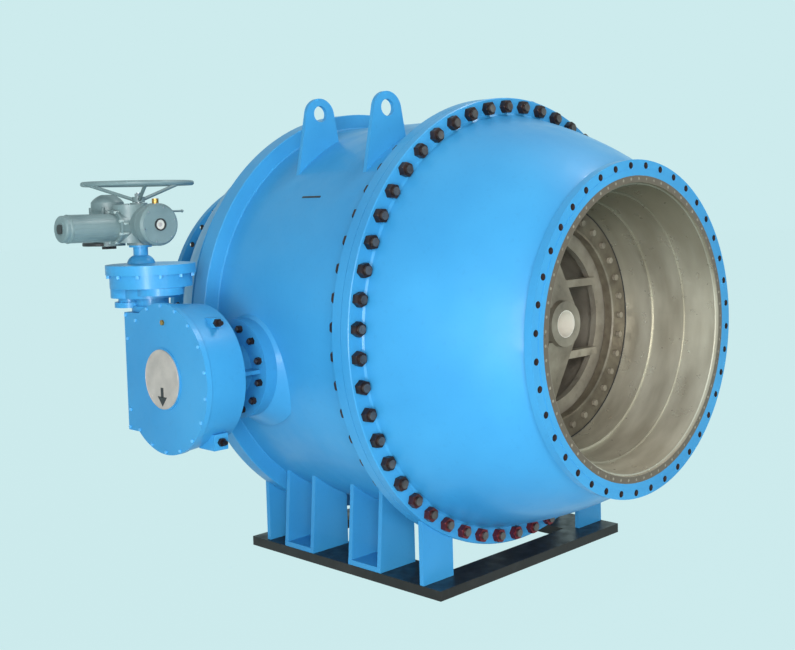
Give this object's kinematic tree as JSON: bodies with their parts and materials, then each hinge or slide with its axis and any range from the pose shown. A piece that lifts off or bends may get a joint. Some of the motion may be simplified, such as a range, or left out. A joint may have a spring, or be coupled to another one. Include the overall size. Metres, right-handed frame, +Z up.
{
  "type": "plunger valve",
  "caption": "Large flanged plunger valve with an axial plunger in a guide bulb, crank drive, worm gearbox, spur reducer, electric actuator and handwheel, on a base frame.",
  "frame": {"origin": "centre of the outlet flange's bolting face, on the valve's axis", "axes": "+X along the flow out of the outlet, +Z up, the gearbox on the -Y side"},
  "size_m": [3.126, 3.3564, 2.7739],
  "materials": {
    "blue_paint": "gloss",
    "dark_fastener": "satin",
    "stainless": "brushed",
    "machined_steel": "machined",
    "bronze": "machined",
    "rubber": "matte",
    "actuator_paint": "satin",
    "window_glass": "gloss",
    "plate_steel": "satin",
    "black_plastic": "matte",
    "black_paint": "satin"
  },
  "bodies": {
    "valve_body": {"outlet_body": "blue_paint", "inlet_shell": "blue_paint", "inlet_joint_flange": "blue_paint", "stiffening_band": "blue_paint", "inlet_cone": "blue_paint", "guide_bulb": "blue_paint", "bulb_nose": "blue_paint", "guide_rings": "bronze", "plunger_seal": "rubber", "joint_studs": "dark_fastener", "joint_nuts": "dark_fastener", "joint_gasket": "rubber", "neck_plugs": "dark_fastener", "outlet_liner": "stainless", "liner_screws": "stainless", "seat_ring": "stainless", "seat_seal": "rubber", "seat_bolts": "stainless", "shaft_bush_near": "bronze", "shaft_bush_far": "bronze", "drive_spool": "blue_paint", "boss_studs": "dark_fastener", "boss_nuts": "dark_fastener", "shaft_seal": "rubber", "gearbox_casing": "blue_paint", "gearbox_cover": "blue_paint", "indicator_plate": "plate_steel", "cover_screws": "blue_paint", "vent_plug": "bronze", "stop_screws": "dark_fastener", "spur_housing": "blue_paint", "spur_bolts": "blue_paint", "spur_cover": "blue_paint", "input_column": "blue_paint", "actuator_case": "actuator_paint", "switch_cover": "actuator_paint", "window": "window_glass", "motor": "actuator_paint", "terminal_box": "actuator_paint", "cable_glands": "black_plastic", "brass_plug": "bronze", "lever_pin": "machined_steel", "lifting_lugs": "blue_paint", "end_legs": "blue_paint", "side_feet": "blue_paint", "base_frame": "black_paint"},
    "plunger_body": {"plunger": "blue_paint", "plunger_bar": "blue_paint"},
    "crank_body": {"crankshaft": "machined_steel", "crank_webs": "machined_steel", "crank_pin": "machined_steel", "worm_wheel": "bronze"},
    "block_body": {"slide_block": "bronze"},
    "worm_body": {"worm": "machined_steel", "spur_wheel": "machined_steel"},
    "input_body": {"input_pinion": "machined_steel", "input_shaft": "machined_steel", "handwheel": "actuator_paint", "hub_nut": "machined_steel"},
    "lever_body": {"declutch_lever": "actuator_paint"}
  },
  "joints": [
    {"name": "input_turn", "type": "hinge", "parent": "valve_body", "child": "input_body", "pos_m": [-2.328, -1.57642, 0.6], "axis": [0, 0, 1], "range_deg": [0, 6750]},
    {"name": "worm_turn", "type": "hinge", "parent": "valve_body", "child": "worm_body", "pos_m": [-2.19, -1.6, -0.2], "axis": [0, 0, -1], "range_deg": [0, 2700.01]},
    {"name": "crank_turn", "type": "hinge", "parent": "valve_body", "child": "crank_body", "pos_m": [-1.865, -0.8, -0.2], "axis": [0, -1, 0], "range_deg": [0, 60.01]},
    {"name": "block_turn", "type": "hinge", "parent": "crank_body", "child": "block_body", "pos_m": [-1.665, 0, 0.14641], "axis": [0, 1, 0], "range_deg": [0, 60.01]},
    {"name": "plunger_slide", "type": "slide", "parent": "valve_body", "child": "plunger_body", "axis": [-1, 0, 0], "range_m": [0, 0.4001]},
    {"name": "lever_pull", "type": "hinge", "parent": "valve_body", "child": "lever_body", "pos_m": [-2.268, -1.45442, 0.69], "axis": [-1, 0, 0], "range_deg": [0, 30], "stiffness_Nm_per_rad": 2, "springref_deg": -17.19}
  ],
  "couplings": [
    {"joint": "worm_turn", "follows": "input_turn", "ratio": 0.4},
    {"joint": "crank_turn", "follows": "input_turn", "ratio": 0.0088889},
    {"joint": "block_turn", "follows": "input_turn", "ratio": 0.0088889},
    {"joint": "plunger_slide", "follows": "input_turn", "m_per_rad": 0.0033953}
  ]
}
